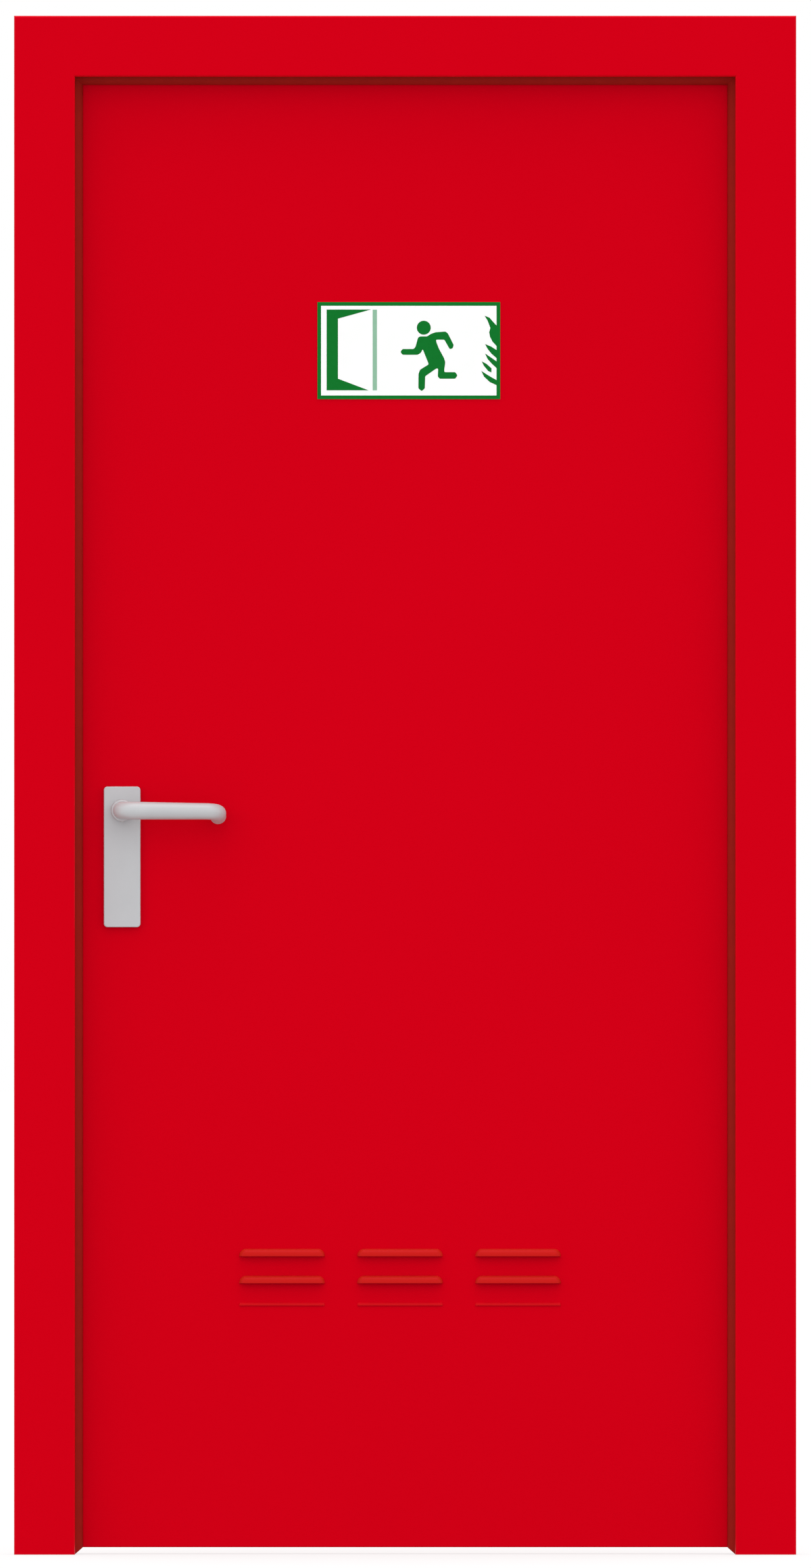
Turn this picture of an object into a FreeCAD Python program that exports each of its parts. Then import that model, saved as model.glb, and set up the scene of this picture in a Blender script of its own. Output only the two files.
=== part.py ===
# Steel utility door: a pressed block frame with a rebated, ventilated double-skin leaf.
# Millimetres. X runs along the wall, Y from the push side (front) to the pull side (back), Z up.
# The origin is at floor level, where the hinge jamb's reveal meets the frame's front face.
import FreeCAD
import Part
import math
import os

V = FreeCAD.Vector

# Frame: one bent-sheet section for both jambs and the head, mitred at the top corners
opening_width = 900.0
opening_height = 2015.0
frame_face = 83.0
frame_depth = 75.0
frame_lip = 18.0
frame_sheet = 1.5
frame_bend = 3.0

# Leaf: a front tray inside the reveal, and a wider back tray that overlaps the frame
leaf_recess = 40.0
side_gap = 9.0
top_gap = 7.0
floor_gap = 9.0
seal_gap = 5.0
overlap = 22.0
flange_depth = 14.0
skin = 1.0
skin_bend = 2.0
hem = 15.0
core_clearance = 1.0

# Seals: a lip on the reveal that closes the gap round the leaf's front, and a bulb under the overlap
lip_projection = 10.3
lip_depth = 15.0
lip_edge = 4.0
lip_bulge = 0.16
bulb_inset = 4.0
bulb_width = 9.0
seal_wall = 1.2
seal_clearance = 0.3

# Wall anchors: flat bars welded across the back of the frame's lips
anchor_width = 40.0
anchor_thickness = 3.0
anchor_edge = 4.0
anchor_hole = 5.5
anchor_hole_depth = 50.5
anchor_access_hole = 8.0
anchor_count = 4
anchor_end_margin = 190.0
head_anchor_offset = 250.0

# Hinges: two lift-off barrels on the pull side
hinge_end_margin = 250.0
barrel_radius = 10.0
barrel_length = 140.0
barrel_flange_gap = 5.0
barrel_cap = 4.0
barrel_chamfer = 1.0
hinge_pin_radius = 6.0
hinge_pin_clearance = 0.1
hinge_play = 0.3
washer_thickness = 3.0
washer_radius = 11.0
wing_thickness = 3.0
wing_corner = 4.0
frame_wing_width = 36.0
leaf_wing_width = 60.0
hinge_foot = 9.0
backing_thickness = 3.0
backing_margin = 15.0

# Lock: mortise case behind a forend in the leaf's edge, and a strike in the lock jamb
backset = 55.0
spindle_height = 1014.5
spindle_side = 9.0
spindle_seat = 24.0
spindle_hole = 8.0
forend_width = 20.0
forend_length = 235.0
forend_thickness = 3.0
forend_drop = 52.5
case_thickness = 16.0
case_depth = 85.0
case_length = 165.0
case_drop = 33.0
follower_hole = 7.2
bolt_thickness = 12.0
bolt_clearance = 0.3
bolt_length = 24.0
bolt_reach = 0.5
latch_height = 22.0
latch_land = 3.0
latch_offset = -18.0
dead_bolt_height = 34.0
dead_bolt_offset = -98.0
cylinder_drop = 72.0
cylinder_radius = 8.5
cylinder_tail = 10.0
cylinder_height = 33.0
cylinder_reach = 2.0
cylinder_clearance = 0.4
keyway_width = 2.0
keyway_height = 9.0
keyway_depth = 8.0
strike_width = 22.0
strike_length = 170.0
strike_thickness = 2.0
strike_slot_margin = 2.5
strike_cut_margin = 1.5
strike_box_depth = 24.0
strike_box_margin = 6.0
strike_box_sheet = 1.0

# Handle set: a long plate and a return-to-door lever on each face
plate_width = 50.0
plate_length = 192.0
plate_above_spindle = 32.7
plate_thickness = 8.0
plate_corner = 5.0
plate_edge = 1.5
neck_radius = 10.0
neck_seat = 4.0
hub_radius = 15.0
hub_length = 14.0
hub_round = 2.5
hub_gap = 0.5
lever_clearance = 0.3
lever_projection = 54.0
lever_reach = 142.0
lever_root_radius = 12.1
lever_root_bend = 19.0
lever_radius = 11.1
lever_fall = 1.3
lever_bend = 16.0
lever_return_gap = 10.0
lever_return_droop = 9.0
lever_tip_round = 4.0

# Vent: pressed louvres in both skins over a sheet sleeve through the core
louvre_width = 117.0
louvre_pitch_x = 161.0
louvre_pitch_z = 36.8
louvre_columns = 3
louvre_top = 416.5
louvre_shift = -7.0
louvre_forms = ((10.2, 9.0), (10.2, 9.0), (4.0, 1.8))
sleeve_margin = 14.0
sleeve_sheet = 1.0

# Exit sign: a thin panel on the leaf's front
sign_width = 249.5
sign_height = 132.5
sign_thickness = 1.5
sign_drop = 366.0
sign_shift = 5.0

# Places worked out from the sizes above
middle_x = -opening_width / 2
frame_top = opening_height + frame_face
leaf_left = -opening_width + side_gap
leaf_right = -side_gap
leaf_top = opening_height - top_gap
leaf_bottom = floor_gap
leaf_front = leaf_recess
flange_front = frame_depth + seal_gap
leaf_back = flange_front + flange_depth
leaf_middle_y = (leaf_front + leaf_back) / 2
flange_left = -opening_width - overlap
flange_right = overlap
flange_top = opening_height + overlap
edge_middle_y = (leaf_front + flange_front) / 2
spindle_x = leaf_left + backset
forend_low = spindle_height - forend_drop - forend_length / 2
latch_z = spindle_height + latch_offset
dead_bolt_z = spindle_height + dead_bolt_offset
hinge_x = flange_right + barrel_flange_gap + barrel_radius
hinge_y = leaf_back + wing_thickness - barrel_radius
hinge_heights = (leaf_bottom + hinge_end_margin, flange_top - hinge_end_margin)
anchor_pitch = (opening_height - 2 * anchor_end_margin) / (anchor_count - 1)
anchor_heights = [anchor_end_margin + n * anchor_pitch for n in range(anchor_count)]
spindle_axis = (spindle_x, spindle_height)


def block(x0, x1, y0, y1, z0, z1):
    """A box between two corners."""
    return Part.makeBox(x1 - x0, y1 - y0, z1 - z0, V(x0, y0, z0))


def rod_y(radius, x, z, y0, y1):
    """A round bar along Y."""
    return Part.makeCylinder(radius, y1 - y0, V(x, y0, z), V(0, 1, 0))


def rod_z(radius, x, y, z0, z1):
    """A round bar along Z."""
    return Part.makeCylinder(radius, z1 - z0, V(x, y, z0), V(0, 0, 1))


def rounded_path(points, radius):
    """An open wire through points, with each corner rounded by a tangent arc."""
    edges = []
    start = points[0]
    for before, corner, after in zip(points, points[1:], points[2:]):
        into = (corner - before).normalize()
        out = (after - corner).normalize()
        half_turn = into.getAngle(out) / 2
        setback = radius * math.tan(half_turn)
        arc_start = corner - into * setback
        arc_end = corner + out * setback
        to_centre = (out - into).normalize()
        arc_middle = corner + to_centre * (radius / math.cos(half_turn) - radius)
        edges.append(Part.LineSegment(start, arc_start).toShape())
        edges.append(Part.Arc(arc_start, arc_middle, arc_end).toShape())
        start = arc_end
    edges.append(Part.LineSegment(start, points[-1]).toShape())
    return Part.Wire(edges)


def tray(x0, x1, y0, y1, z0, z1, open_side):
    """A folded sheet box with rounded outer edges round its face, open at its front or back."""
    outer = block(x0, x1, y0, y1, z0, z1)
    face_y = y0 if open_side == "back" else y1
    rim = [e for e in outer.Edges if all(abs(v.Y - face_y) < 1e-6 for v in e.Vertexes)]
    outer = outer.makeFillet(skin_bend, rim)
    inside_y0 = y0 + skin if open_side == "back" else y0 - skin
    inside_y1 = y1 + skin if open_side == "back" else y1 - skin
    inside = block(x0 + skin, x1 - skin, inside_y0, inside_y1, z0 + skin, z1 - skin)
    inner_y = inside_y0 if open_side == "back" else inside_y1
    rim = [e for e in inside.Edges if all(abs(v.Y - inner_y) < 1e-6 for v in e.Vertexes)]
    return outer.cut(inside.makeFillet(skin_bend - skin, rim))


def save(name, *solids):
    """Writes one node, of one solid or of several that don't touch."""
    shape = solids[0] if len(solids) == 1 else Part.makeCompound(list(solids))
    shape.exportStep(os.path.join("parts", name + ".step"))


def across(shape):
    """The same piece for the lock side: mirrored across the doorway."""
    return shape.mirror(V(middle_x, 0, 0), V(1, 0, 0))


def to_head(shape):
    """Turns a jamb piece to lie along the head, its outward side upwards."""
    turned = shape.copy()
    turned.rotate(V(0, 0, 0), V(0, 1, 0), -90)
    turned.translate(V(0, 0, opening_height))
    return turned


def mitre_waste(for_head):
    """The triangle beyond the 45 degree joint at the hinge-side top corner."""
    reach = frame_face + frame_sheet
    low = V(-reach, -frame_depth, opening_height - reach)
    high = V(reach, -frame_depth, opening_height + reach)
    corner = V(high.x, low.y, low.z) if for_head else V(low.x, low.y, high.z)
    face = Part.Face(Part.makePolygon([low, high, corner, low]))
    return face.extrude(V(0, 3 * frame_depth, 0))


def frame_section():
    """The frame's bent sheet: lip, front face, reveal, back face and lip."""
    outline = [
        V(frame_face, frame_lip, 0),
        V(frame_face, 0, 0),
        V(0, 0, 0),
        V(0, frame_depth, 0),
        V(frame_face, frame_depth, 0),
        V(frame_face, frame_depth - frame_lip, 0),
    ]
    path = rounded_path(outline, frame_bend)
    inner = [
        V(frame_face - frame_sheet, frame_lip, 0),
        V(frame_face - frame_sheet, frame_sheet, 0),
        V(frame_sheet, frame_sheet, 0),
        V(frame_sheet, frame_depth - frame_sheet, 0),
        V(frame_face - frame_sheet, frame_depth - frame_sheet, 0),
        V(frame_face - frame_sheet, frame_depth - frame_lip, 0),
    ]
    inner_path = rounded_path(inner, frame_bend - frame_sheet)
    ends = [Part.LineSegment(a, b).toShape() for a, b in ((inner[0], outline[0]), (inner[-1], outline[-1]))]
    return Part.Face(Part.Wire(Part.__sortEdges__(path.Edges + inner_path.Edges + ends)))


def closed_section(outline, crown):
    """A face inside straight sides and one three-point arc that closes them."""
    sides = [Part.LineSegment(a, b).toShape() for a, b in zip(outline, outline[1:])]
    return Part.Face(Part.Wire(sides + [Part.Arc(outline[-1], crown, outline[0]).toShape()]))


def bulb_section():
    """A hollow D lying on the frame's back face, just short of the leaf's overlap."""

    def outline(inset):
        low = frame_depth + inset
        top = frame_depth + seal_gap - seal_clearance - inset
        near = bulb_inset + inset
        far = bulb_inset + bulb_width - inset
        shoulder = low + (top - low) / 3
        corners = [V(near, shoulder, 0), V(near, low, 0), V(far, low, 0), V(far, shoulder, 0)]
        return closed_section(corners, V((near + far) / 2, top, 0))

    return outline(0).cut(outline(seal_wall)).Faces[0]


def lip_section():
    """A round-nosed lip on the reveal, reaching over the edge of the leaf's front."""
    back = leaf_front - seal_clearance
    front = back - lip_depth
    tip = -lip_projection
    corners = [V(0, front, 0), V(0, back, 0), V(tip, back, 0), V(tip, back - lip_edge, 0)]
    middle = (corners[0] + corners[-1]) / 2
    bulge = V(-lip_projection, -lip_depth, 0) * lip_bulge
    return closed_section(corners, middle + bulge)


def lip_foot():
    """The wedge trimmed off a lip's foot, from the floor at the reveal to the leaf's lower edge."""
    reach = 2 * lip_projection
    rise = 2 * leaf_bottom
    corners = [V(0, 0, 0), V(-reach, 0, 0), V(-reach, 0, rise)]
    return Part.Face(Part.makePolygon(corners + corners[:1])).extrude(V(0, frame_depth, 0))


def jamb_run(section):
    """A section stood up as the hinge-side upright, mitred at its top."""
    return section.extrude(V(0, 0, frame_top)).cut(mitre_waste(False))


def head_run(section):
    """A section laid along the head, mitred at both ends."""
    run = section.extrude(V(0, 0, opening_width + 2 * frame_face))
    run.translate(V(0, 0, -frame_face))
    waste = mitre_waste(True)
    return to_head(run).cut(waste).cut(across(waste))


def access_holes():
    """Round holes through the reveal, in line with the anchors' bolt holes."""
    rods = []
    for z in anchor_heights:
        start = V(-frame_sheet, anchor_hole_depth, z)
        rods.append(Part.makeCylinder(anchor_access_hole, 3 * frame_sheet, start, V(1, 0, 0)))
    return Part.makeCompound(rods)


def anchor(z):
    """One flat bar behind the jamb's lips, with its bolt hole."""
    outside = frame_face - frame_sheet
    inside = outside - anchor_thickness
    half = anchor_width / 2
    bar = block(inside, outside, anchor_edge, frame_depth - anchor_edge, z - half, z + half)
    hole = Part.makeCylinder(anchor_hole, anchor_thickness, V(inside, anchor_hole_depth, z), V(1, 0, 0))
    return bar.cut(hole)


def strike_opening(height, width, centre_z, x0, x1):
    """A box through the lock jamb for one bolt."""
    y0 = edge_middle_y - width / 2
    z0 = centre_z - height / 2
    return block(x0, x1, y0, y0 + width, z0, z0 + height)


def strike_cut_out():
    """The hole in the lock jamb behind the strike, clear of both slots."""
    margin = strike_slot_margin + strike_cut_margin
    low = dead_bolt_z - dead_bolt_height / 2 - margin
    high = latch_z + latch_height / 2 + margin
    width = bolt_thickness + 2 * margin
    outer = -opening_width - 2 * frame_sheet
    inner = -opening_width + frame_sheet
    return strike_opening(high - low, width, (low + high) / 2, outer, inner)


def make_frame():
    jamb = jamb_run(frame_section()).cut(access_holes())
    save("hinge_jamb", jamb)
    save("lock_jamb", across(jamb).cut(strike_cut_out()))
    save("frame_head", head_run(frame_section()))
    lip = jamb_run(lip_section()).cut(lip_foot())
    bulb = jamb_run(bulb_section())
    for name, strip in (("lip_seal", lip), ("bulb_seal", bulb)):
        save("hinge_jamb_" + name, strip)
        save("lock_jamb_" + name, across(strip))
    save("head_lip_seal", head_run(lip_section()))
    save("head_bulb_seal", head_run(bulb_section()))
    anchors = [anchor(z) for z in anchor_heights]
    save("hinge_jamb_anchors", *anchors)
    save("lock_jamb_anchors", *[across(a) for a in anchors])
    head_places = (-middle_x - head_anchor_offset, -middle_x + head_anchor_offset)
    save("head_anchors", *[to_head(anchor(x)) for x in head_places])


def make_strike():
    outer = -opening_width
    inner = outer + strike_thickness
    centre = (latch_z + dead_bolt_z) / 2
    plate = strike_opening(strike_length, strike_width, centre, outer, inner)
    corners = [e for e in plate.Edges if abs(e.Vertexes[0].X - e.Vertexes[1].X) > strike_thickness / 2]
    plate = plate.makeFillet(strike_width / 4, corners)
    for height, z in ((latch_height, latch_z), (dead_bolt_height, dead_bolt_z)):
        slot_height = height + 2 * strike_slot_margin
        slot_width = bolt_thickness + 2 * strike_slot_margin
        plate = plate.cut(strike_opening(slot_height, slot_width, z, outer, inner))
    save("strike_plate", plate)
    # A sheet box behind the strike keeps the bolts' space clear of mortar
    cut = strike_cut_out().BoundBox
    mouth = outer - frame_sheet
    floor = mouth - strike_box_depth
    wall = strike_box_sheet
    low = cut.ZMin - strike_box_margin
    high = cut.ZMax + strike_box_margin
    hollow = block(floor, mouth, cut.YMin, cut.YMax, low, high)
    shell = block(floor - wall, mouth, cut.YMin - wall, cut.YMax + wall, low - wall, high + wall)
    save("strike_box", shell.cut(hollow))


def knuckle(z0, z1, outer_end):
    """One solid knuckle of a hinge, chamfered round its outer end."""
    body = rod_z(barrel_radius, hinge_x, hinge_y, z0, z1)
    rim = [e for e in body.Edges if e.Closed and abs(e.CenterOfMass.z - outer_end) < 1e-6]
    return body.makeChamfer(barrel_chamfer, rim)


def wing(x0, x1, y0, z0, z1, free_end):
    """A hinge plate along a face at y0, with the two corners of its free end rounded."""
    plate = block(x0, x1, y0, y0 + wing_thickness, z0, z1)
    end = [e for e in plate.Edges if all(abs(v.X - free_end) < 1e-6 for v in e.Vertexes)]
    corners = [e for e in end if abs(e.Vertexes[0].Y - e.Vertexes[1].Y) > wing_thickness / 2]
    return plate.makeFillet(wing_corner, corners)


def make_hinge(name, centre):
    low = centre - barrel_length / 2
    seat = centre - washer_thickness / 2
    rest = centre + washer_thickness / 2 + hinge_play
    high = centre + barrel_length / 2
    pin_top = high - barrel_cap - hinge_play
    pin = rod_z(hinge_pin_radius, hinge_x, hinge_y, low, pin_top)
    # The frame's knuckle stands on a foot along the edge of its wing
    foot_left = hinge_x - hinge_foot / 2
    foot_right = hinge_x + hinge_foot / 2
    wing_right = hinge_x + frame_wing_width
    foot = block(foot_left, foot_right, frame_depth, hinge_y, low + barrel_chamfer, seat)
    frame_wing = wing(foot_left, wing_right, frame_depth, low, seat, wing_right)
    frame_knuckle = knuckle(low, seat, low).fuse([foot, frame_wing]).cut(pin)
    save(name + "_frame_hinge", frame_knuckle.removeSplitter())
    wing_left = flange_right - leaf_wing_width
    leaf_wing = wing(wing_left, hinge_x, leaf_back, rest, high, wing_left)
    bore = rod_z(hinge_pin_radius + hinge_pin_clearance, hinge_x, hinge_y, rest, high - barrel_cap)
    leaf_knuckle = knuckle(rest, high, high).fuse(leaf_wing).cut(bore)
    save(name + "_leaf_hinge", leaf_knuckle.removeSplitter())
    save(name + "_hinge_pin", pin)
    washer = rod_z(washer_radius, hinge_x, hinge_y, seat, seat + washer_thickness)
    save(name + "_hinge_washer", washer.cut(pin))


def make_hinges():
    for name, centre in zip(("lower", "upper"), hinge_heights):
        make_hinge(name, centre)
    # Plates behind the frame's back face take the hinge screws
    inner_y = frame_depth - frame_sheet
    near = hinge_x - backing_margin
    far = hinge_x + frame_wing_width
    back_y = inner_y - backing_thickness
    half = barrel_length / 2 + backing_margin
    plates = [block(near, far, back_y, inner_y, z - half, z + half) for z in hinge_heights]
    save("hinge_backing_plates", *plates)


def quarter_ellipse(centre, rise, reach):
    """A curve about a centre, from the top of its rise to the end of its shorter reach."""
    curve = Part.Ellipse(centre + rise, centre + reach, centre)
    return Part.ArcOfEllipse(curve, 0, math.pi / 2).toShape()


def louvre_solid(height, projection, sheet, face_y, centre_x, top_z, outward):
    """A pressed hood, or with a sheet thickness its hollow: a quarter ellipse, rounded off at both ends."""
    low = top_z - height
    half = louvre_width / 2 - projection
    rise = V(0, 0, height - sheet)
    reach = V(0, outward * (projection - sheet), 0)

    def section(x):
        centre = V(x, face_y, low)
        sides = [Part.LineSegment(centre, centre + side).toShape() for side in (rise, reach)]
        outline = sides + [quarter_ellipse(centre, rise, reach)]
        return Part.Face(Part.Wire(Part.__sortEdges__(outline)))

    hood = section(centre_x - half).extrude(V(2 * half, 0, 0))
    for side in (-1, 1):
        x = centre_x + side * half
        hood = hood.fuse(section(x).revolve(V(x, face_y, low), V(0, 0, 1), -90 * side * outward))
    return hood.removeSplitter()


def louvre_slot(height, projection, y0, y1, centre_x, top_z):
    """The way through the sheet behind a hood, with the outline of the hood's hollow."""
    half = louvre_width / 2 - projection
    rise = V(0, 0, height - skin)
    left, right = [V(centre_x + side * half, y0, top_z - height) for side in (-1, 1)]
    reach = V(projection - skin, 0, 0)
    outline = [
        quarter_ellipse(left, rise, -reach),
        Part.LineSegment(left + rise, right + rise).toShape(),
        quarter_ellipse(right, rise, reach),
        Part.LineSegment(right + reach, left - reach).toShape(),
    ]
    return Part.Face(Part.Wire(Part.__sortEdges__(outline))).extrude(V(0, y1 - y0, 0))


def louvre_places():
    """Centre, top, height and projection of every louvre."""
    for row, (height, projection) in enumerate(louvre_forms):
        for column in range(louvre_columns):
            offset = (column - (louvre_columns - 1) / 2) * louvre_pitch_x
            yield middle_x + louvre_shift + offset, louvre_top - row * louvre_pitch_z, height, projection


def press_louvres(sheet, face_y, outward):
    """Presses the louvres out of a skin whose outer face is at face_y."""
    y0, y1 = sorted((face_y, face_y - outward * skin))
    for centre_x, top_z, height, projection in louvre_places():
        hood = louvre_solid(height, projection, 0, face_y, centre_x, top_z, outward)
        hollow = louvre_solid(height, projection, skin, face_y, centre_x, top_z, outward)
        slot = louvre_slot(height, projection, y0, y1, centre_x, top_z)
        sheet = sheet.cut(slot).fuse(hood.cut(hollow))
    return sheet.removeSplitter()


def vent_box(grow):
    """The straight way through the leaf behind the louvres."""
    half = (louvre_columns - 1) / 2 * louvre_pitch_x + louvre_width / 2 + sleeve_margin
    rows = len(louvre_forms) - 1
    low = louvre_top - rows * louvre_pitch_z - louvre_forms[-1][0] - sleeve_margin
    centre = middle_x + louvre_shift
    high = louvre_top + sleeve_margin
    x0 = centre - half - grow
    x1 = centre + half + grow
    return block(x0, x1, leaf_front + skin, leaf_back - skin, low - grow, high + grow)


def cylinder_profile(grow, y0, y1):
    """The lock cylinder's keyhole-shaped outline, pushed out along Y."""
    x, z = spindle_x, spindle_height - cylinder_drop
    round_part = rod_y(cylinder_radius + grow, x, z, y0, y1)
    low = z + cylinder_radius - cylinder_height - grow
    half = cylinder_tail / 2 + grow
    return round_part.fuse(block(x - half, x + half, y0, y1, low, z)).removeSplitter()


def case_box():
    """The lock case between the two skins."""
    half = case_thickness / 2
    middle = spindle_height - case_drop
    return block(
        leaf_left + forend_thickness,
        leaf_left + forend_thickness + case_depth,
        edge_middle_y - half,
        edge_middle_y + half,
        middle - case_length / 2,
        middle + case_length / 2,
    )


def forend_box():
    half = forend_width / 2
    return block(
        leaf_left,
        leaf_left + forend_thickness,
        edge_middle_y - half,
        edge_middle_y + half,
        forend_low,
        forend_low + forend_length,
    )


def bolt_box(height, z, grow):
    half = bolt_thickness / 2 + grow
    tall = height / 2 + grow
    return block(
        leaf_left - bolt_reach,
        leaf_left + bolt_length + grow,
        edge_middle_y - half,
        edge_middle_y + half,
        z - tall,
        z + tall,
    )


def latch_nose():
    """The wedge that is cut off the latch, so that it slides in over the strike as the leaf closes."""
    tip = leaf_left - bolt_reach
    front = edge_middle_y - bolt_thickness / 2
    slope = bolt_thickness - latch_land
    low = latch_z - latch_height / 2
    corners = [V(tip, front, low), V(tip + slope, front, low), V(tip, front + slope, low)]
    return Part.Face(Part.makePolygon(corners + corners[:1])).extrude(V(0, 0, latch_height))


def make_leaf():
    front = tray(leaf_left, leaf_right, leaf_front, flange_front, leaf_bottom, leaf_top, "back")
    front = press_louvres(front, leaf_front, -1)
    front = front.cut(forend_box())
    save("leaf_front_skin", front.cut(rod_y(spindle_hole, *spindle_axis, leaf_front, leaf_front + skin)))

    tray_front = flange_front - skin
    back = tray(flange_left, flange_right, tray_front, leaf_back, leaf_bottom, flange_top, "front")
    back = back.cut(block(flange_left, flange_right, tray_front, flange_front, leaf_bottom, flange_top))
    hem_back = flange_front + skin
    rim = block(flange_left, flange_right, flange_front, hem_back, leaf_bottom, flange_top)
    mouth_left = leaf_left + hem
    mouth_right = leaf_right - hem
    mouth = block(mouth_left, mouth_right, flange_front, hem_back, leaf_bottom + hem, leaf_top - hem)
    back = back.fuse(rim.cut(mouth)).removeSplitter()
    back = press_louvres(back, leaf_back, 1)
    back = back.cut(rod_y(spindle_hole, *spindle_axis, leaf_back - skin, leaf_back))
    save("leaf_back_skin", back.cut(cylinder_profile(cylinder_clearance, leaf_back - skin, leaf_back)))

    inset = hem + core_clearance
    core_left = leaf_left + inset
    core_right = leaf_right - inset
    core_low = leaf_bottom + inset
    core_high = leaf_top - inset
    core = block(core_left, core_right, leaf_front + skin, leaf_back - skin, core_low, core_high)
    core = core.cut(vent_box(0)).cut(case_box())
    core = core.cut(rod_y(spindle_hole, *spindle_axis, leaf_front, leaf_back))
    save("leaf_core", core.cut(cylinder_profile(cylinder_clearance, edge_middle_y, leaf_back)))
    save("vent_sleeve", vent_box(0).cut(vent_box(-sleeve_sheet)))

    half_width = sign_width / 2
    half_height = sign_height / 2
    sign_x = middle_x + sign_shift
    sign_z = leaf_top - sign_drop
    sign = block(
        sign_x - half_width,
        sign_x + half_width,
        leaf_front - sign_thickness,
        leaf_front,
        sign_z - half_height,
        sign_z + half_height,
    )
    save("exit_sign", sign)


def make_lock():
    lock = forend_box().fuse(case_box()).removeSplitter()
    lock = lock.cut(rod_y(follower_hole, *spindle_axis, leaf_front, leaf_back))
    for height, z in ((latch_height, latch_z), (dead_bolt_height, dead_bolt_z)):
        lock = lock.cut(bolt_box(height, z, bolt_clearance))
    save("mortise_lock", lock)
    save("latch_bolt", bolt_box(latch_height, latch_z, 0).cut(latch_nose()))
    save("dead_bolt", bolt_box(dead_bolt_height, dead_bolt_z, 0))
    tip = leaf_back + plate_thickness + cylinder_reach
    cylinder = cylinder_profile(0, edge_middle_y + case_thickness / 2, tip)
    centre_z = spindle_height - cylinder_drop
    half = keyway_width / 2
    low = centre_z - keyway_height / 2
    keyway = block(spindle_x - half, spindle_x + half, tip - keyway_depth, tip, low, low + keyway_height)
    save("lock_cylinder", cylinder.cut(keyway))


def handle_plate():
    """The front plate, with the bore that the lever's neck turns in."""
    outer = leaf_front - plate_thickness
    half = plate_width / 2
    high = spindle_height + plate_above_spindle
    plate = block(spindle_x - half, spindle_x + half, outer, leaf_front, high - plate_length, high)
    corners = [e for e in plate.Edges if abs(e.Vertexes[0].Y - e.Vertexes[1].Y) > plate_thickness / 2]
    plate = plate.makeFillet(plate_corner, corners)
    rim = [e for e in plate.Edges if all(abs(v.Y - outer) < 1e-6 for v in e.Vertexes)]
    plate = plate.makeFillet(plate_edge, rim)
    return plate.cut(rod_y(neck_radius + lever_clearance, *spindle_axis, outer, leaf_front))


def spindle():
    """The square bar through the lock that both levers sit on."""
    half = spindle_side / 2
    reach = neck_seat + spindle_seat
    return block(
        spindle_x - half,
        spindle_x + half,
        leaf_front - reach,
        leaf_back + reach,
        spindle_height - half,
        spindle_height + half,
    )


def lever():
    """The front lever: a collar, a round bar bent out of it, and a return that dips towards the leaf."""
    bar_y = leaf_front - lever_projection
    hub_back = leaf_front - plate_thickness - hub_gap
    hub_front = hub_back - hub_length
    hub = rod_y(hub_radius, *spindle_axis, hub_front, hub_back)
    rim = [e for e in hub.Edges if e.Closed and abs(e.CenterOfMass.y - hub_front) < 1e-6]
    hub = hub.makeFillet(hub_round, rim)
    neck = rod_y(neck_radius, *spindle_axis, hub_back, leaf_front - neck_seat)
    foot = V(spindle_x, hub_back, spindle_height)
    root = V(spindle_x, bar_y, spindle_height)
    corner = root + V(lever_reach - lever_radius, 0, -lever_fall)
    droop = math.radians(lever_return_droop)
    return_length = (lever_projection - lever_return_gap) / math.cos(droop)
    tip = corner + V(0, math.cos(droop), -math.sin(droop)) * return_length
    stem, elbow, _ = rounded_path([foot, root, corner], lever_root_bend).Edges
    _, bend, return_line = rounded_path([root, corner, tip], lever_bend).Edges
    ring = Part.Wire([Part.makeCircle(lever_root_radius, foot, root - foot)])
    shank = Part.Wire([stem, elbow]).makePipeShell([ring], True, True)
    bar_start = elbow.Vertexes[-1].Point
    along = bend.Vertexes[0].Point - bar_start
    bar = Part.makeCone(lever_root_radius, lever_radius, along.Length, bar_start, along)
    ring = Part.Wire([Part.makeCircle(lever_radius, bend.Vertexes[0].Point, along)])
    hook = Part.Wire([bend, return_line]).makePipeShell([ring], True, True)
    end = max(hook.Edges, key=lambda e: e.CenterOfMass.y)
    hook = hook.makeFillet(lever_tip_round, [end])
    return hub.fuse([neck, shank, bar, hook]).removeSplitter().cut(spindle())


def make_handles():
    def to_back(shape):
        return shape.mirror(V(0, leaf_middle_y, 0), V(0, 1, 0))

    plate = handle_plate()
    save("front_handle_plate", plate)
    hole = cylinder_profile(cylinder_clearance, leaf_back, leaf_back + plate_thickness)
    save("back_handle_plate", to_back(plate).cut(hole))
    front = lever()
    save("front_lever", front)
    save("back_lever", to_back(front))
    save("spindle", spindle())


os.makedirs("parts", exist_ok=True)
make_frame()
make_strike()
make_hinges()
make_leaf()
make_lock()
make_handles()
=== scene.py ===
import bmesh
import bpy
import math
from mathutils import Matrix, Vector


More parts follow.
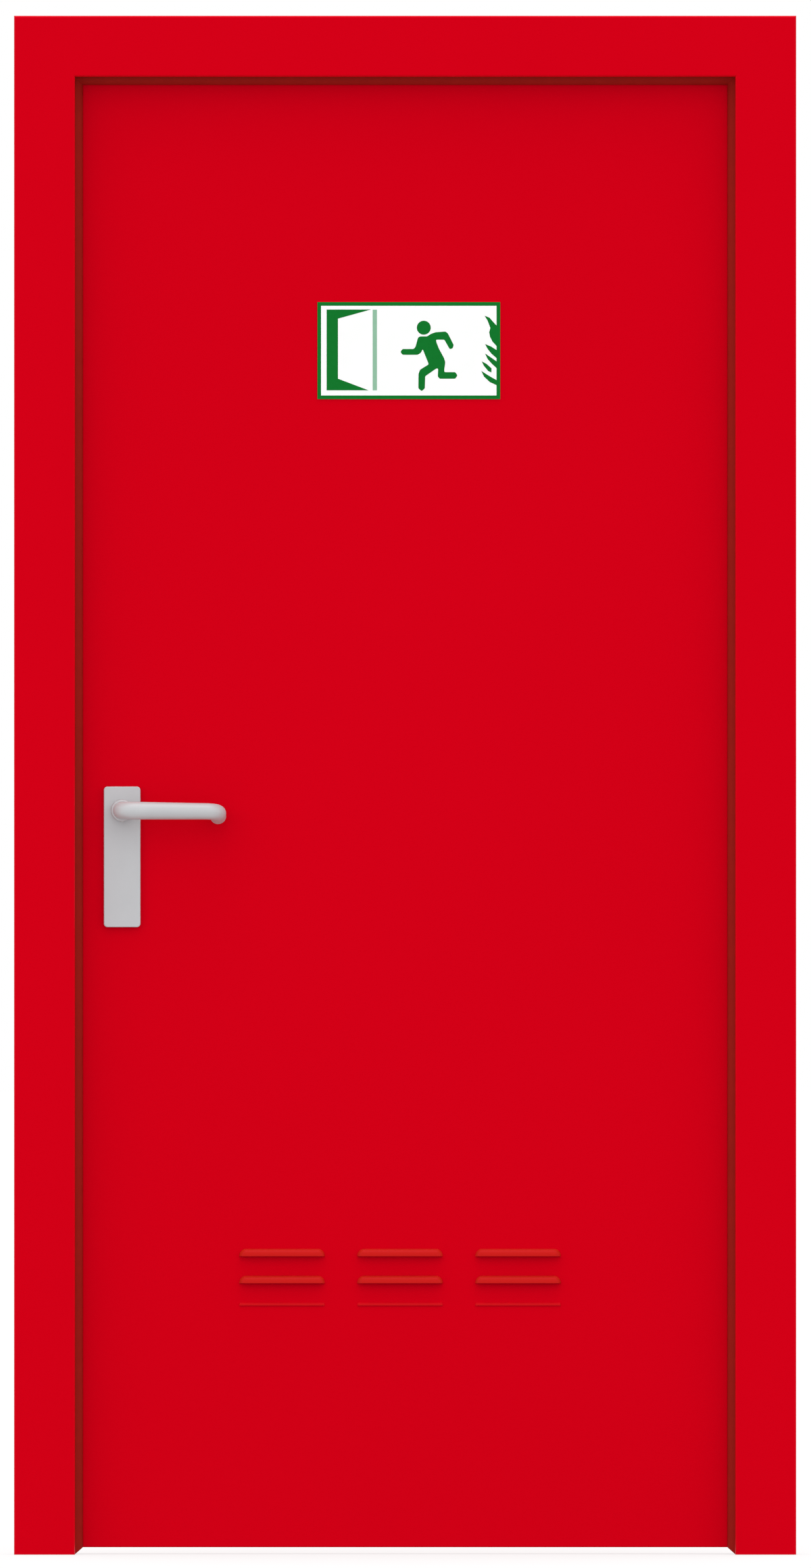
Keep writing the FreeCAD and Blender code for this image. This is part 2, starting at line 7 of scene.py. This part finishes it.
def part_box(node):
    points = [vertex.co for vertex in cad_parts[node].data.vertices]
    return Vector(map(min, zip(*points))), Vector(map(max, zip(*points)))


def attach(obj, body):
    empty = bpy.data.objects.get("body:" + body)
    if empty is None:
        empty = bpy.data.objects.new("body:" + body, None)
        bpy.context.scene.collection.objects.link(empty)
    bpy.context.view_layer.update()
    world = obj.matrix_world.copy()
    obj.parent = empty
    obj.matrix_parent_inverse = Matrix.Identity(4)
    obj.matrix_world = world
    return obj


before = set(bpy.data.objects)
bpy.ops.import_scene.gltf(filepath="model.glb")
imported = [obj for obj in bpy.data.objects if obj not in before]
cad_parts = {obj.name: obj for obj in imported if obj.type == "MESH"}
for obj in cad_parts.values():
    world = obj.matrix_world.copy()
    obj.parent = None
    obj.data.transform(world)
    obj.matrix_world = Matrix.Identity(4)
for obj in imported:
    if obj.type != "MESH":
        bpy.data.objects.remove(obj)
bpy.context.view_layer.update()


# Frame
# Two jambs and a head, bent from 1.5 mm steel sheet, mitred and welded at the top corners and
# ground flush. They are powder coated together, so the red film runs over the joints.

class Amount:
    """A shader socket that works in Python sums, which add Math nodes."""

    def __init__(self, shading, socket):
        self.shading = shading
        self.socket = socket

    def joined(self, operation, first, second):
        sides = {"Value": first, "Value_001": second}
        return self.shading.node("ShaderNodeMath", {"operation": operation}, sides)

    def __add__(self, other):
        return self.joined("ADD", self, other)

    def __sub__(self, other):
        return self.joined("SUBTRACT", self, other)

    def __rsub__(self, other):
        return self.joined("SUBTRACT", other, self)

    def __mul__(self, other):
        return self.joined("MULTIPLY", self, other)

    __radd__ = __add__
    __rmul__ = __mul__


class Shading:
    """A node tree in the making, for a finish, the floor or the studio's light."""

    def __init__(self, tree):
        self.tree = tree

    def fill(self, node, sockets):
        """Sets or links a node's inputs, named by their identifiers."""
        inputs = {socket.identifier: socket for socket in node.inputs}
        for name, value in sockets.items():
            if isinstance(value, Amount):
                self.tree.links.new(value.socket, inputs[name])
            else:
                inputs[name].default_value = value

    def node(self, kind, settings, sockets, output=0):
        """Adds a node of any kind, its settings first, and gives back one of its outputs."""
        node = self.tree.nodes.new(kind)
        for name, value in settings.items():
            setattr(node, name, value)
        self.fill(node, sockets)
        return Amount(self, node.outputs[output])

    def limited(self, value, low, high):
        """A value that rises from 0 at low to 1 at high and stays between them."""
        settings = {"interpolation_type": "SMOOTHSTEP"}
        sockets = {"Value": value, "From Min": low, "From Max": high}
        return self.node("ShaderNodeMapRange", settings, sockets)


class Finish(Shading):
    """A material. Its patterns lie on Object coordinates, in metres."""

    def __init__(self, name, fixed):
        self.material = bpy.data.materials.new(name)
        self.material.use_nodes = True
        super().__init__(self.material.node_tree)
        self.shader = self.tree.nodes["Principled BSDF"]
        self.fill(self.shader, fixed)
        self.place = self.node("ShaderNodeTexCoord", {}, {}, "Object")

    def show(self, sockets):
        self.fill(self.shader, sockets)

    def grain(self, per_metre, detail, drawn_out=(1.0, 1.0, 1.0)):
        """Noise with so many grains to a metre, longer along an axis that has a low number."""
        place = self.node("ShaderNodeMapping", {}, {"Vector": self.place, "Scale": drawn_out})
        sockets = {"Vector": place, "Scale": per_metre, "Detail": detail}
        return self.node("ShaderNodeTexNoise", {}, sockets)

    def blend(self, share, first, second):
        """A colour between two, by a share from 0 to 1."""
        sockets = {"Factor_Float": share, "A_Color": first, "B_Color": second}
        return self.node("ShaderNodeMix", {"data_type": "RGBA"}, sockets, 2)

    def relief(self, height, depth):
        """A bumped normal, with the depth in metres between heights of 0 and 1."""
        return self.node("ShaderNodeBump", {}, {"Height": height, "Distance": depth})


def dress(finish, *names):
    """Gives CAD nodes a finish."""
    for name in names:
        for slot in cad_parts[name].material_slots:
            slot.material = finish.material


red_thin = (0.594, 0.0, 0.003, 1.0)
red_full = (0.624, 0.0, 0.004, 1.0)
red_sheen = (1.0, 0.0, 0.12, 1.0)
coat_depth = 0.00003


def red_powder(name):
    """Red powder coat: a film of uneven cover with a fine orange peel, and the film's colour."""
    coat = Finish(name, {"Specular Tint": red_sheen})
    film = coat.grain(per_metre=1.6, detail=3.0)
    peel = coat.grain(per_metre=480.0, detail=1.5)
    colour = coat.blend(film, red_thin, red_full)
    coat.show({
        "Base Color": colour,
        "Roughness": 0.31 + film * 0.10 + peel * 0.06,
        "Normal": coat.relief(peel, coat_depth),
    })
    return coat, colour


red_coat, _ = red_powder("red_powder_coat")
dress(red_coat, "hinge_jamb", "lock_jamb", "frame_head")


# Wall anchors, backing plates and strike box
# Flat bars welded across the back of the frame's lips, plates behind the hinge screws and a sheet
# box behind the strike. They are cut from hot-dip galvanised sheet, which shows zinc crystals.

zinc_dark = (0.40, 0.42, 0.44, 1.0)
zinc_pale = (0.62, 0.64, 0.66, 1.0)
crystals_per_metre = 95.0

zinc = Finish("galvanised_sheet", {"Metallic": 0.85})
crystal = zinc.node(
    "ShaderNodeTexVoronoi", {}, {"Vector": zinc.place, "Scale": crystals_per_metre}, "Color"
)
shine = zinc.node("ShaderNodeSeparateColor", {}, {"Color": crystal})
frost = zinc.grain(per_metre=900.0, detail=3.0)
zinc.show({
    "Base Color": zinc.blend(shine * 0.7 + frost * 0.3, zinc_dark, zinc_pale),
    "Roughness": 0.30 + shine * 0.2 + frost * 0.1,
    "Normal": zinc.relief(shine, depth=0.00001),
})
dress(zinc, "hinge_jamb_anchors", "lock_jamb_anchors", "head_anchors")
dress(zinc, "hinge_backing_plates", "strike_box")


# Strike
# A stainless plate in the lock jamb's reveal, with a slot for the latch and one for the dead bolt.
# It is rolled and brushed along its length, and two countersunk screws hold it.

steel_dark = (0.50, 0.50, 0.50, 1.0)
steel_pale = (0.68, 0.68, 0.67, 1.0)
brush_depth = 0.000006

steel = Finish("brushed_steel", {"Metallic": 0.95})
brush = steel.grain(per_metre=2600.0, detail=2.0, drawn_out=(1.0, 1.0, 0.012))
smear = steel.grain(per_metre=60.0, detail=3.0)
steel.show({
    "Base Color": steel.blend(brush * 0.6 + smear * 0.4, steel_dark, steel_pale),
    "Roughness": 0.22 + brush * 0.2 + smear * 0.1,
    "Normal": steel.relief(brush, brush_depth),
})
dress(steel, "strike_plate")


def fit(name, bm, finish, body):
    """Makes a finished bmesh into a piece that rides on a body."""
    sharp_edge = math.radians(32)
    bmesh.ops.recalc_face_normals(bm, faces=bm.faces)
    for face in bm.faces:
        face.smooth = True
    mesh = bpy.data.meshes.new(name)
    bm.to_mesh(mesh)
    bm.free()
    mesh.set_sharp_from_angle(angle=sharp_edge)
    mesh.materials.append(finish.material)
    piece = bpy.data.objects.new(name, mesh)
    bpy.context.scene.collection.objects.link(piece)
    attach(piece, body)


def lengthen(bm, ring, rise, share=1.0):
    """Extrudes a ring of edges along Z, drawn in or out, and gives back the new ring."""
    made = bmesh.ops.extrude_edge_only(bm, edges=ring)["geom"]
    verts = [part for part in made if isinstance(part, bmesh.types.BMVert)]
    bmesh.ops.translate(bm, verts=verts, vec=(0.0, 0.0, rise))
    bmesh.ops.scale(bm, verts=verts, vec=(share, share, 1.0))
    return ring_of(bm, verts)


def ring_of(bm, verts):
    """The edges that run between some vertices."""
    chosen = set(verts)
    return [edge for edge in bm.edges if all(vert in chosen for vert in edge.verts)]


def circle(bm, corners, radius, height):
    """A ring of edges round Z."""
    place = Matrix.Translation((0.0, 0.0, height))
    made = bmesh.ops.create_circle(bm, segments=corners, radius=radius, matrix=place)
    return ring_of(bm, made["verts"])


def screw_head():
    """A raised countersunk head with a hexagon socket, of radius 1, in a surface at Z = 0."""
    seat = -0.2
    shoulder = 0.05
    crown = ((0.10, 0.90), (0.09, 0.82), (0.03, 0.85))
    socket_radius = 0.46
    socket_depth = 0.3
    socket_draft = 0.98
    bm = bmesh.new()
    ring = circle(bm, corners=24, radius=1.0, height=seat)
    bmesh.ops.edgeloop_fill(bm, edges=ring)
    ring = lengthen(bm, ring, shoulder - seat)
    for rise, share in crown:
        ring = lengthen(bm, ring, rise, share)
    top = ring[0].verts[0].co.z
    hexagon = circle(bm, corners=6, radius=socket_radius, height=top)
    bmesh.ops.bridge_loops(bm, edges=ring + hexagon)
    bottom = lengthen(bm, hexagon, -socket_depth, socket_draft)
    bmesh.ops.edgeloop_fill(bm, edges=bottom)
    mesh = bpy.data.meshes.new("screw_head")
    bm.to_mesh(mesh)
    bm.free()
    return mesh


def screws(name, radius, places, facing, body):
    """One piece for a group of like steel screws in a surface that faces one way."""
    head = screw_head()
    turn = Vector((0.0, 0.0, 1.0)).rotation_difference(Vector(facing)).to_matrix().to_4x4()
    bm = bmesh.new()
    for place in places:
        start = len(bm.verts)
        bm.from_mesh(head)
        bm.verts.ensure_lookup_table()
        seated = Matrix.Translation(place) @ turn @ Matrix.Scale(radius, 4)
        bmesh.ops.transform(bm, matrix=seated, verts=bm.verts[start:])
    bpy.data.meshes.remove(head)
    fit(name, bm, steel, body)


strike_screw_radius = 0.0040
strike_screw_margin = 0.011
strike_low, strike_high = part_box("strike_plate")
strike_middle = (strike_low.y + strike_high.y) / 2
strike_places = [
    (strike_high.x, strike_middle, strike_low.z + strike_screw_margin),
    (strike_high.x, strike_middle, strike_high.z - strike_screw_margin),
]
screws("strike_screws", strike_screw_radius, strike_places, (1, 0, 0), "frame")


# Hinges
# Lift-off hinges at the back: a knuckle and a wing on the frame, and the same on the leaf. Both are
# coated with the door, a plain steel pin joins them and a brass washer carries the leaf.

brass_dark = (0.42, 0.27, 0.09, 1.0)
brass_pale = (0.72, 0.51, 0.21, 1.0)

brass = Finish("turned_brass", {"Metallic": 0.9})
tarnish = brass.grain(per_metre=240.0, detail=4.0)
turned = brass.grain(per_metre=2200.0, detail=1.0, drawn_out=(0.05, 0.05, 1.0))
brass.show({
    "Base Color": brass.blend(tarnish * 0.7 + turned * 0.3, brass_dark, brass_pale),
    "Roughness": 0.42 - tarnish * 0.2 + turned * 0.1,
    "Normal": brass.relief(turned, brush_depth),
})

# The screws of a wing are measured in from its outer edge and from its ends.
wing_thickness = 0.003
wing_screw_radius = 0.0042
end_screw_margin = 0.011
frame_end_screw_inset = 0.017
frame_middle_screw_inset = 0.008
leaf_end_screw_inset = 0.010
leaf_inner_screw_inset = 0.030
leaf_inner_screw_margin = 0.024
leaf_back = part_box("back_handle_plate")[0].y
frame_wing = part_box("hinge_jamb")[1].y + wing_thickness
leaf_wing = leaf_back + wing_thickness
for hinge in ("lower", "upper"):
    dress(red_coat, hinge + "_frame_hinge", hinge + "_leaf_hinge")
    dress(steel, hinge + "_hinge_pin")
    dress(brass, hinge + "_hinge_washer")
    low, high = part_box(hinge + "_frame_hinge")
    frame_places = [
        (high.x - frame_end_screw_inset, frame_wing, low.z + end_screw_margin),
        (high.x - frame_middle_screw_inset, frame_wing, (low.z + high.z) / 2),
        (high.x - frame_end_screw_inset, frame_wing, high.z - end_screw_margin),
    ]
    screws(hinge + "_frame_hinge_screws", wing_screw_radius, frame_places, (0, 1, 0), "frame")
    low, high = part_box(hinge + "_leaf_hinge")
    leaf_places = [
        (low.x + leaf_end_screw_inset, leaf_wing, low.z + end_screw_margin),
        (low.x + leaf_inner_screw_inset, leaf_wing, low.z + leaf_inner_screw_margin),
        (low.x + leaf_inner_screw_inset, leaf_wing, high.z - leaf_inner_screw_margin),
        (low.x + leaf_end_screw_inset, leaf_wing, high.z - end_screw_margin),
    ]
    screws(hinge + "_leaf_hinge_screws", wing_screw_radius, leaf_places, (0, 1, 0), "leaf")


# Seals
# Rubber strips on three sides. A brown lip, stuck to the reveal, closes the gap round the leaf's
# front, and a hollow black strip lies on the frame's back face, under the leaf's overlap. The brown
# lip stands where that gap would lie in shade, and its brown is the shade's colour: painted shade.

brown_lip_shade_dark = (0.265, 0.006, 0.003, 1.0)
brown_lip_shade_pale = (0.320, 0.010, 0.006, 1.0)
black_dark = (0.012, 0.012, 0.012, 1.0)
black_pale = (0.030, 0.029, 0.028, 1.0)


def rubber(name, dark, pale):
    """Extruded rubber: a dull skin with a fine, uneven surface and a little bloom."""
    strip = Finish(name, {"Specular IOR Level": 0.1})
    bloom = strip.grain(per_metre=70.0, detail=4.0)
    skin = strip.grain(per_metre=1500.0, detail=2.0)
    strip.show({
        "Base Color": strip.blend(bloom, dark, pale),
        "Roughness": 0.62 + bloom * 0.16 + skin * 0.08,
        "Normal": strip.relief(skin, depth=0.00004),
    })
    return strip


# Painted shade: the brown lip fills the gap round the leaf's front in the brown of that gap's
# shade.
brown_lip_and_gap_shade = rubber("brown_lip_rubber_painted_gap_shade", brown_lip_shade_dark, brown_lip_shade_pale)
black_rubber = rubber("black_bulb_rubber", black_dark, black_pale)
dress(brown_lip_and_gap_shade, "hinge_jamb_lip_seal", "lock_jamb_lip_seal", "head_lip_seal")
dress(black_rubber, "hinge_jamb_bulb_seal", "lock_jamb_bulb_seal", "head_bulb_seal")


# Leaf
# Two folded trays of 1 mm sheet, the back one hemmed round the front one, with the louvres pressed
# out of both. A paper honeycomb is glued between them, and a sheet sleeve leads the air through it.

hollow_shade_and_paper_dark = (0.27, 0.17, 0.08, 1.0)
paper_pale = (0.52, 0.37, 0.21, 1.0)
cells_per_metre = 60.0

paper = Finish("paper_honeycomb_painted_cell_shade", {"Specular IOR Level": 0.2})
to_cell_wall = paper.node(
    "ShaderNodeTexVoronoi",
    {"feature": "DISTANCE_TO_EDGE"},
    {"Vector": paper.place, "Scale": cells_per_metre, "Randomness": 0.3},
)
fibre = paper.grain(per_metre=700.0, detail=4.0)
# The paper is pale on the cell walls and darker between them: painted shade in the hollow cells,
# mixed with a random fibre tone.
cell_wall = 1 - paper.limited(to_cell_wall, low=0.02, high=0.10)
paper.show({
    "Base Color": paper.blend(cell_wall * 0.6 + fibre * 0.4, hollow_shade_and_paper_dark, paper_pale),
    "Roughness": 0.8 + fibre * 0.15,
    "Normal": paper.relief(cell_wall, depth=0.0006),
})
dress(paper, "leaf_core")
dress(zinc, "vent_sleeve")

# Where the skin stands proud of its front or back face, on the hoods, the red turns paler and
# warmer: a painted sheen for the light on the hoods' bulge.
hood_painted_sheen = (0.52, 0.013, 0.0055, 1.0)
sheen_start_proud = 0.0002
sheen_full_proud = 0.0030
leaf_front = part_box("front_handle_plate")[1].y
leaf_coat_and_sheen, leaf_red = red_powder("red_leaf_powder_coat_and_hood_sheen")
depth = leaf_coat_and_sheen.node("ShaderNodeSeparateXYZ", {}, {"Vector": leaf_coat_and_sheen.place}, "Y")
front_hood_sheen = leaf_coat_and_sheen.limited(leaf_front - depth, sheen_start_proud, sheen_full_proud)
back_hood_sheen = leaf_coat_and_sheen.limited(depth - leaf_back, sheen_start_proud, sheen_full_proud)
red_with_hood_sheen = leaf_coat_and_sheen.blend(front_hood_sheen + back_hood_sheen, leaf_red, hood_painted_sheen)
leaf_coat_and_sheen.show({"Base Color": red_with_hood_sheen})
dress(leaf_coat_and_sheen, "leaf_front_skin", "leaf_back_skin")


# Lock
# A mortise lock in the leaf's edge behind a brushed forend that two screws hold, with its latch and
# dead bolt. The cylinder is brass, with its plug and keyway on the pull side.

dress(steel, "mortise_lock", "latch_bolt", "dead_bolt")
dress(brass, "lock_cylinder")

forend_screw_radius = 0.0038
forend_screw_margin = 0.010
forend_low, forend_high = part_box("mortise_lock")
latch_low, latch_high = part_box("latch_bolt")
forend_middle = (latch_low.y + latch_high.y) / 2
forend_places = [
    (forend_low.x, forend_middle, forend_low.z + forend_screw_margin),
    (forend_low.x, forend_middle, forend_high.z - forend_screw_margin),
]
screws("forend_screws", forend_screw_radius, forend_places, (-1, 0, 0), "leaf")

plug_radius = 0.0062
plug_seat = -0.0003
plug_rise = 0.0004
chamfer_rise = 0.0001
chamfer_share = 0.96
keyway_width = 0.0022
keyway_height = 0.0092
bm = bmesh.new()
foot = circle(bm, corners=32, radius=plug_radius, height=plug_seat)
# The keyway starts as a square with a side of 1, turned straight and drawn to its size.
keyway_foot = circle(bm, corners=4, radius=math.sqrt(0.5), height=plug_seat)
keyway_verts = list({vert for edge in keyway_foot for vert in edge.verts})
bmesh.ops.rotate(bm, verts=keyway_verts, matrix=Matrix.Rotation(math.radians(45), 3, "Z"))
bmesh.ops.scale(bm, verts=keyway_verts, vec=(keyway_width, keyway_height, 1.0))
bmesh.ops.bridge_loops(bm, edges=foot + keyway_foot)
rim = lengthen(bm, foot, plug_rise - plug_seat)
rim = lengthen(bm, rim, chamfer_rise, chamfer_share)
keyway_rim = lengthen(bm, keyway_foot, plug_rise - plug_seat + chamfer_rise)
bmesh.ops.bridge_loops(bm, edges=rim + keyway_rim)
cylinder_low, cylinder_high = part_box("lock_cylinder")
cylinder_radius = (cylinder_high.x - cylinder_low.x) / 2
cylinder_middle = (cylinder_low.x + cylinder_high.x) / 2
cylinder_z = cylinder_high.z - cylinder_radius
plug_place = Matrix.Translation((cylinder_middle, cylinder_high.y, cylinder_z))
plug_turn = Matrix.Rotation(math.radians(-90), 4, "X")
bmesh.ops.transform(bm, matrix=plug_place @ plug_turn, verts=bm.verts)
fit("cylinder_plug", bm, brass, "leaf")


# Handle set
# Two long plates, and two levers on a square spindle. Plates and levers are cast aluminium, blasted
# and anodised to a satin silver. Screws go in from the back, and a grub screw holds each lever.

satin_dark = (0.475, 0.482, 0.500, 1.0)
satin_pale = (0.575, 0.580, 0.594, 1.0)

satin = Finish("satin_anodised", {"Metallic": 0.15, "Specular IOR Level": 0.4})
blast = satin.grain(per_metre=2400.0, detail=2.0)
shade = satin.grain(per_metre=38.0, detail=3.0)
satin.show({
    "Base Color": satin.blend(blast * 0.5 + shade * 0.5, satin_dark, satin_pale),
    "Roughness": 0.34 + blast * 0.14 + shade * 0.08,
    "Normal": satin.relief(blast, depth=0.000008),
})
dress(satin, "front_handle_plate", "back_handle_plate", "front_lever", "back_lever")
dress(steel, "spindle")

plate_screw_radius = 0.0038
top_screw_margin = 0.0085
bottom_screw_margin = 0.0120
plate_low, plate_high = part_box("back_handle_plate")
plate_middle = (plate_low.x + plate_high.x) / 2
plate_places = [
    (plate_middle, plate_high.y, plate_high.z - top_screw_margin),
    (plate_middle, plate_high.y, plate_low.z + bottom_screw_margin),
]
screws("back_plate_screws", plate_screw_radius, plate_places, (0, 1, 0), "leaf")

hub_radius = 0.015
grub_screw_radius = 0.0026
grub_screw_proud = 0.0002
plate_to_grub_screw = 0.007
spindle_low, spindle_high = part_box("spindle")
spindle_z = (spindle_low.z + spindle_high.z) / 2
grub_screw_z = spindle_z - hub_radius - grub_screw_proud
front_plate_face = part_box("front_handle_plate")[0].y
grub_places = [
    (plate_middle, front_plate_face - plate_to_grub_screw, grub_screw_z),
    (plate_middle, plate_high.y + plate_to_grub_screw, grub_screw_z),
]
screws("lever_grub_screws", grub_screw_radius, grub_places, (0, 0, -1), "lever_set")


# Exit sign
# A thin white plastic panel stuck on the leaf, with a running figure, an open door and flames
# screen printed on it in green inside a green border. The ink stands a little proud.

white_dark = (0.94, 0.95, 0.94, 1.0)
white_pale = (0.97, 0.97, 0.97, 1.0)
green_thin = (0.000, 0.180, 0.022, 1.0)
green_full = (0.000, 0.150, 0.014, 1.0)
pale_thin = (0.300, 0.530, 0.380, 1.0)
pale_full = (0.250, 0.470, 0.320, 1.0)

panel = Finish("white_sign_plastic", {"Specular IOR Level": 0.3})
cloud = panel.grain(per_metre=30.0, detail=3.0)
panel_skin = panel.grain(per_metre=1300.0, detail=2.0)
panel.show({
    "Base Color": panel.blend(cloud, white_dark, white_pale),
    "Roughness": 0.36 + cloud * 0.08 + panel_skin * 0.06,
    "Normal": panel.relief(panel_skin, depth=0.00001),
})
dress(panel, "exit_sign")


def ink(name, thin, full):
    """Screen-printed ink: a dull film whose cover varies a little with the mesh."""
    film = Finish(name, {"Specular IOR Level": 0.1})
    cover = film.grain(per_metre=160.0, detail=3.0)
    weave = film.grain(per_metre=2400.0, detail=1.0)
    film.show({
        "Base Color": film.blend(cover * 0.7 + weave * 0.3, thin, full),
        "Roughness": 0.42 + cover * 0.10 + weave * 0.06,
        "Normal": film.relief(weave, depth=0.00001),
    })
    return film


green_ink = ink("green_sign_ink", green_thin, green_full)
pale_ink = ink("pale_green_sign_ink", pale_thin, pale_full)

sign_low, sign_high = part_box("exit_sign")
mm = 0.001
ink_depth = 0.0002
ink_seat = 0.0001
border = 5.0
sign_size = ((sign_high.x - sign_low.x) / mm, (sign_high.z - sign_low.z) / mm)
border_right = sign_size[0] - border
opening = [
    (12.7, 10.2), (73.0, 10.2), (28.1, 22.6), (28.1, 104.6), (69.8, 120.4), (12.7, 120.4),
]
door_edge = [(75.5, 10.4), (81.3, 10.4), (81.3, 120.4), (75.5, 120.4)]
runner = [
    (113.4, 68.0), (116.2, 64.1), (131.4, 64.1), (134.0, 61.0), (137.2, 49.0), (139.7, 46.9),
    (149.8, 46.9), (155.4, 43.3), (161.4, 41.2), (174.9, 40.3), (178.2, 43.0), (186.0, 58.7),
    (184.4, 63.3), (180.7, 64.3), (178.2, 60.1), (173.3, 51.3), (161.8, 51.3), (162.3, 54.6),
    (165.7, 63.3), (172.9, 76.7), (174.5, 82.3), (173.1, 92.4), (173.3, 95.7), (188.1, 95.7),
    (191.1, 100.0), (188.1, 104.6), (166.9, 104.6), (164.3, 101.7), (164.8, 90.6), (162.3, 90.6),
    (147.1, 101.2), (146.6, 117.8), (142.3, 121.5), (137.8, 117.8), (138.0, 98.0), (140.1, 92.4),
    (151.9, 85.0), (150.6, 81.3), (143.8, 64.3), (141.1, 69.3), (136.9, 71.9), (116.2, 71.9),
]
# From the top down. All but the fourth grow out of the border.
flames = [
    [
        (border_right, 32.0), (240.2, 27.5), (234.8, 21.3), (228.2, 18.7), (232.2, 25.2),
        (236.0, 35.2), (234.5, 41.3), (235.6, 47.5), (239.0, 54.0), (border_right, 60.0),
    ],
    [
        (border_right, 65.5), (236.8, 60.6), (228.9, 57.4), (232.2, 63.7), (237.4, 70.3),
        (border_right, 76.5),
    ],
    [
        (border_right, 81.0), (236.2, 75.2), (228.9, 70.3), (232.2, 77.6), (238.1, 84.2),
        (border_right, 90.1),
    ],
    [(237.6, 90.4), (230.8, 84.4), (224.2, 80.9), (227.1, 86.8), (233.0, 94.0), (237.4, 96.0)],
    [
        (border_right, 106.5), (238.1, 103.0), (231.5, 99.0), (223.6, 94.0), (227.5, 101.9),
        (235.4, 109.2), (border_right, 113.4),
    ],
]
head_centre = (145.2, 35.0)
head_radius = 9.5
limb_rounding = 1.2


def on_sign(point):
    """A place on the printed face from millimetres right and down of its top left corner."""
    right, down = point
    return Vector((sign_low.x + right * mm, sign_low.y + ink_seat, sign_high.z - down * mm))


def print_shape(bm, points, rounding=0.0):
    """Prints one filled outline, with its corners rounded or sharp."""
    start = len(bm.faces)
    face = bm.faces.new([bm.verts.new(on_sign(point)) for point in points])
    if rounding:
        bmesh.ops.bevel(
            bm, geom=face.verts[:], offset=rounding * mm, affect="VERTICES",
            segments=3, profile=0.5, material=-1,
        )
    bm.faces.ensure_lookup_table()
    return bm.faces[start:]


def raise_ink(bm):
    """Gives the printed outlines the thickness of their film, out of the panel."""
    made = bmesh.ops.extrude_face_region(bm, geom=bm.faces[:])["geom"]
    verts = [part for part in made if isinstance(part, bmesh.types.BMVert)]
    bmesh.ops.translate(bm, verts=verts, vec=(0.0, -ink_depth - ink_seat, 0.0))


bm = bmesh.new()
corners = [(0.0, 0.0), (sign_size[0], 0.0), sign_size, (0.0, sign_size[1])]
sheet = print_shape(bm, corners)
bm.normal_update()
bmesh.ops.inset_individual(bm, faces=sheet, thickness=border * mm, use_even_offset=True)
bmesh.ops.delete(bm, geom=sheet, context="FACES_ONLY")
print_shape(bm, opening)
print_shape(bm, runner, limb_rounding)
for flame in flames:
    print_shape(bm, flame)
upright = Matrix.Rotation(math.radians(90), 4, "X")
head_place = Matrix.Translation(on_sign(head_centre)) @ upright
bmesh.ops.create_circle(
    bm, cap_ends=True, segments=40, radius=head_radius * mm, matrix=head_place
)
raise_ink(bm)
fit("exit_sign_picture", bm, green_ink, "leaf")

bm = bmesh.new()
print_shape(bm, door_edge)
raise_ink(bm)
fit("exit_sign_door_edge", bm, pale_ink, "leaf")


# Floor
# A plain pale floor, so wide that no view meets its edge. Part of its white is its own, more of it
# for the camera and for shiny pieces, and the rest is lit, so that it keeps the door's shadow.

floor_reach = 60.0
floor_drop = -0.0005
floor_colour = (0.52, 0.52, 0.52, 1.0)
floor_own = 0.65
floor_glow = 0.62
floor_white = 1.18

floor_finish = bpy.data.materials.new("studio_floor")
floor_finish.use_nodes = True
floor_shading = Shading(floor_finish.node_tree)
floor_shading.tree.nodes.remove(floor_shading.tree.nodes["Principled BSDF"])


def seen(shading):
    """1 for rays from the camera, and for those that a shiny or clear piece sends on."""
    flags = [
        shading.node("ShaderNodeLightPath", {}, {}, flag)
        for flag in ("Is Camera Ray", "Is Glossy Ray", "Is Transmission Ray")
    ]
    return shading.limited(flags[0] + flags[1] + flags[2], low=0.0, high=1.0)


lit = floor_shading.node("ShaderNodeBsdfDiffuse", {}, {"Color": floor_colour})
glow = seen(floor_shading) * (floor_white - floor_glow) + floor_glow
own = floor_shading.node("ShaderNodeEmission", {}, {"Strength": glow})
mixed = floor_shading.node(
    "ShaderNodeMixShader", {}, {"Fac": floor_own, "Shader": lit, "Shader_001": own}
)
floor_shading.fill(floor_shading.tree.nodes["Material Output"], {"Surface": mixed})
bm = bmesh.new()
floor_place = Matrix.Translation((0.0, 0.0, floor_drop))
bmesh.ops.create_grid(bm, x_segments=1, y_segments=1, size=floor_reach, matrix=floor_place)
floor_mesh = bpy.data.meshes.new("floor")
bm.to_mesh(floor_mesh)
bm.free()
floor_mesh.materials.append(floor_finish)
floor = bpy.data.objects.new("floor", floor_mesh)
bpy.context.scene.collection.objects.link(floor)


# Studio light
# A white room that lights the door evenly from all sides, and one very soft lamp, nearly overhead,
# that gives the tops of the levers and louvres their light. The room is seen as plain white.

room_light = 1.36
room_white = 1.0
room_colour = (1.0, 1.0, 1.0, 1.0)
lamp_strength = 0.6
lamp_softness = math.radians(40)
lamp_lean = math.radians(5)

room = bpy.data.worlds.new("studio_room")
room.use_nodes = True
bpy.context.scene.world = room
room_shading = Shading(room.node_tree)
strength = seen(room_shading) * (room_white - room_light) + room_light
backdrop = room.node_tree.nodes["Background"]
room_shading.fill(backdrop, {"Color": room_colour, "Strength": strength})
lamp_data = bpy.data.lights.new("soft_lamp", "SUN")
lamp_data.energy = lamp_strength
lamp_data.angle = lamp_softness
lamp = bpy.data.objects.new("soft_lamp", lamp_data)
lamp.rotation_euler = (lamp_lean, 0.0, 0.0)
bpy.context.scene.collection.objects.link(lamp)


# Camera
# A long lens, far in front of the door and square to its face, so that it shows hardly any
# perspective. It is level with the middle of the picture.

camera_distance = 40.0
view_height = 2.1376
view_middle_x = -0.4495
view_middle_z = 1.0506

camera_data = bpy.data.cameras.new("camera")
camera_data.lens = camera_data.sensor_width * camera_distance / view_height
camera_data.clip_end = 5 * camera_distance
camera = bpy.data.objects.new("camera", camera_data)
camera.location = (view_middle_x, -camera_distance, view_middle_z)
camera.rotation_euler = (math.radians(90), 0.0, 0.0)
bpy.context.scene.collection.objects.link(camera)
bpy.context.scene.camera = camera
bpy.context.scene.view_settings.view_transform = "Standard"
